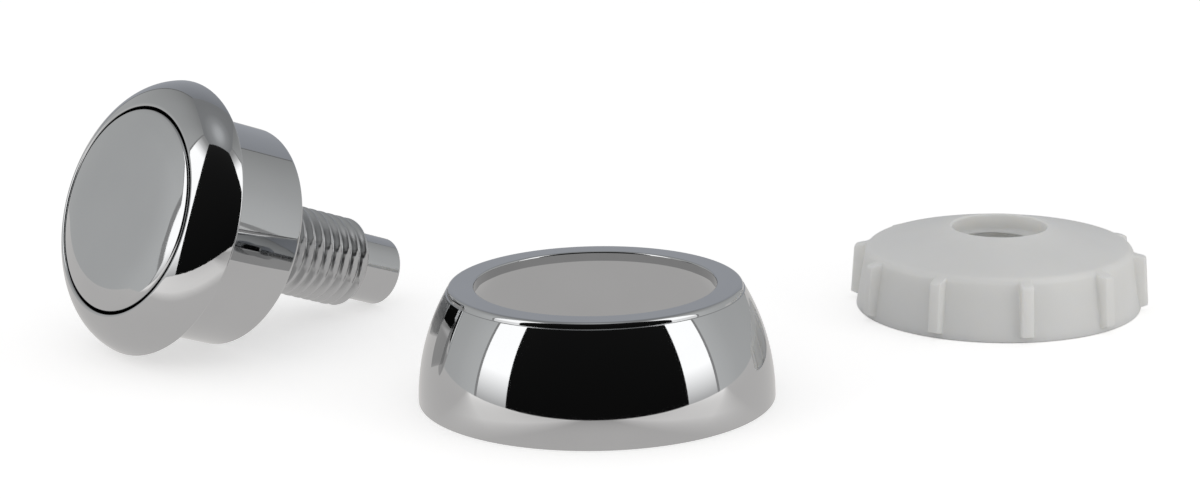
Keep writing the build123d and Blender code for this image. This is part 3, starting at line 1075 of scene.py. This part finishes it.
def studio(stage):
    """The tent round the object as the chrome shows it: dark front panel, white strips, walls and ceiling."""
    near = -stage.panel_distance
    half = stage.panel_half_width
    side = stage.wall_distance
    corner = near + stage.strip_depth
    back = stage.back_distance
    top = stage.ceiling_height
    inner = side - SEAM_WIDTH
    card("front_panel", upright(-half, near, half, near, 0.0, top), NEUTRAL, ("Z", PANEL_UP))
    for sign in (-1.0, 1.0):
        strip = upright(sign * half, near, sign * side, corner, 0.0, top)
        card("white_strip", strip, NEUTRAL, ("Z", STRIP_UP))
        seam = upright(sign * side, corner, sign * side, corner + SEAM_WIDTH, 0.0, top)
        card("strip_seam", seam, NEUTRAL, ("Z", LINE_UP))
        wall = upright(sign * side, corner + SEAM_WIDTH, sign * side, back - SEAM_WIDTH, 0.0, top)
        card("side_wall", wall, WALL_TINT, ("Y", WALL_BACK), ("Z", WALL_UP))
        fold = upright(sign * side, back - SEAM_WIDTH, sign * inner, back, 0.0, top)
        card("wall_fold", fold, NEUTRAL, ("Z", FOLD_UP))
    card("back_wall", upright(-inner, back, inner, back, 0.0, top), BACK_TINT, ("Z", BACK_UP))
    roof = [(-side, near, top), (side, near, top), (side, back, top), (-side, back, top)]
    card("ceiling", roof, ROOF_TINT, ("middle", ROOF_OUT))


def pale_floor(stage):
    """A pale floor that keeps the shadow, nearer white for the camera, and in the chrome a glow of painted light
    with painted shade inside the ring.
    """
    mesh = bpy.data.meshes.new("floor")
    reach = FLOOR_REACH
    corners = [(-reach, -reach, 0), (reach, -reach, 0), (reach, reach, 0), (-reach, reach, 0)]
    mesh.from_pydata(corners, [], [(0, 1, 2, 3)])
    material, tree, shader = new_material("pale_floor")
    grain = noise(tree, object_point(tree), scale=300.0, detail=3.0)
    feed(tree, shader, {
        "Base Color": mottled(tree, grain, stage.floor_colour, darkest=0.995, lightest=1.0),
        "Roughness": 0.9,
        "Specular IOR Level": 0.0,
    })
    path = add_node(tree, "LightPath", {})
    lit = shader.outputs["BSDF"]
    lift = add_node(tree, "Emission", {"Strength": stage.floor_lift}).outputs["Emission"]
    seen = either(tree, path.outputs["Is Camera Ray"], lit, both(tree, lit, lift))
    # In the chrome the floor is a glow of painted light, not an even one: darker toward the front, lighter to the
    # sides, with painted shade inside the ring
    painted_floor_levels = [("Y", FLOOR_BACK), ("side", FLOOR_SIDE), ("middle", FLOOR_PAINTED_SHADE_OUT)]
    even = glow(tree, stage.floor_tint, painted_floor_levels)
    # Painted pool of light on the floor in front, at both sides, seen only in the chrome
    painted_light_spill = glow(tree, stage.floor_tint, [("Y", PAINTED_SPILL_BACK), ("side", PAINTED_SPILL_SIDE)])
    whole = either(tree, path.outputs["Is Glossy Ray"], seen, both(tree, even, painted_light_spill))
    feed(tree, tree.nodes["Material Output"], {"Surface": whole})
    mesh.materials.append(material)
    floor = add_object("floor", mesh)


def soft_sky(stage):
    """White behind the object, and an even soft light from all round for everything else."""
    world = bpy.data.worlds.new("studio")
    bpy.context.scene.world = world
    world.use_nodes = True
    tree = world.node_tree
    tree.nodes.clear()
    path = add_node(tree, "LightPath", {})
    rays = {0: path.outputs["Is Camera Ray"], 1: path.outputs["Is Transmission Ray"]}
    seen = add_node(tree, "Math", rays, "MAXIMUM").outputs["Value"]
    white = add_node(tree, "Background", {"Strength": 1.0, "Color": (*NEUTRAL, 1.0)})
    soft = add_node(tree, "Background", {"Strength": stage.sky_strength, "Color": (*SKY_TINT, 1.0)})
    sky = either(tree, seen, soft.outputs["Background"], white.outputs["Background"])
    add_node(tree, "OutputWorld", {"Surface": sky})


def side_lamps(stage):
    """Two soft lamps, the left one stronger, that only the plastic and the floor feel."""
    for name, sign, power in (("right_lamp", 1.0, 1.0), ("left_lamp", -1.0, stage.left_share)):
        data = bpy.data.lights.new(name, "AREA")
        data.size = stage.lamp_size
        data.energy = stage.lamp_power * power
        data.color = stage.lamp_colour
        lamp = add_object(name, data)
        spot = Vector((sign * stage.lamp_place[0], stage.lamp_place[1], stage.lamp_place[2]))
        lamp.matrix_world = Matrix.Translation(spot) @ spot.to_track_quat("Z", "Y").to_matrix().to_4x4()
        lamp.visible_glossy = False
        lamp.visible_camera = False


def photo_camera(stage):
    """The camera: it looks along +Y and down by its elevation, turned about its axis by its roll."""
    data = bpy.data.cameras.new("camera")
    data.sensor_width = SENSOR_WIDTH
    data.lens = stage.focal_length
    data.clip_start = NEAR_CLIP
    data.clip_end = FAR_CLIP
    camera = add_object("camera", data)
    forward = Vector((0.0, math.cos(stage.elevation), -math.sin(stage.elevation)))
    sideways = Vector((1.0, 0.0, 0.0))
    upward = sideways.cross(forward)
    right = sideways * math.cos(stage.roll) + upward * math.sin(stage.roll)
    top = upward * math.cos(stage.roll) - sideways * math.sin(stage.roll)
    turn = Matrix((right, top, -forward)).transposed().to_4x4()
    camera.matrix_world = Matrix.Translation(Vector(stage.target) - forward * stage.distance) @ turn
    bpy.context.scene.camera = camera


class ACTUATOR_OT_stage(Operator):
    """Make the floor, the studio light and the camera"""

    bl_idname = "actuator.stage"
    bl_label = "Stage"

    def execute(self, context):
        stage = context.scene.actuator_stage
        context.scene.view_settings.view_transform = "Standard"
        studio(stage)
        pale_floor(stage)
        soft_sky(stage)
        side_lamps(stage)
        photo_camera(stage)
        return {"FINISHED"}


class VIEW3D_PT_actuator(Panel):
    """Sizes, finishes and steps of the actuator"""

    bl_label = "Cistern Actuator"
    bl_space_type = "VIEW_3D"
    bl_region_type = "UI"
    bl_category = "Actuator"

    def draw(self, context):
        for operator in OPERATORS:
            self.layout.operator(operator.bl_idname)
        for name, group in GROUPS.items():
            box = self.layout.box()
            box.label(text=group.__doc__)
            for key in group.__annotations__:
                box.prop(getattr(context.scene, name), key)


GROUPS = {
    "actuator_ring": RingSizes,
    "actuator_unit": UnitSizes,
    "actuator_stem": StemSizes,
    "actuator_spring": SpringSizes,
    "actuator_nut": NutSizes,
    "actuator_finishes": Finishes,
    "actuator_stage": StageSettings,
}
OPERATORS = (
    ACTUATOR_OT_dress_ring,
    ACTUATOR_OT_housing,
    ACTUATOR_OT_button,
    ACTUATOR_OT_return_spring,
    ACTUATOR_OT_back_nut,
    ACTUATOR_OT_stage,
)


def register():
    """Register the classes and give the scene its settings."""
    for name, group in GROUPS.items():
        bpy.utils.register_class(group)
        setattr(bpy.types.Scene, name, PointerProperty(type=group))
    for cls in (*OPERATORS, VIEW3D_PT_actuator):
        bpy.utils.register_class(cls)


def unregister():
    """Take the classes and settings away again."""
    for cls in (*OPERATORS, VIEW3D_PT_actuator):
        bpy.utils.unregister_class(cls)
    for name, group in GROUPS.items():
        delattr(bpy.types.Scene, name)
        bpy.utils.unregister_class(group)


def main():
    """Register, then build every piece and the stage."""
    register()
    bpy.ops.actuator.dress_ring()
    bpy.ops.actuator.housing()
    bpy.ops.actuator.button()
    bpy.ops.actuator.return_spring()
    bpy.ops.actuator.back_nut()
    bpy.ops.actuator.stage()


if __name__ == "__main__":
    main()
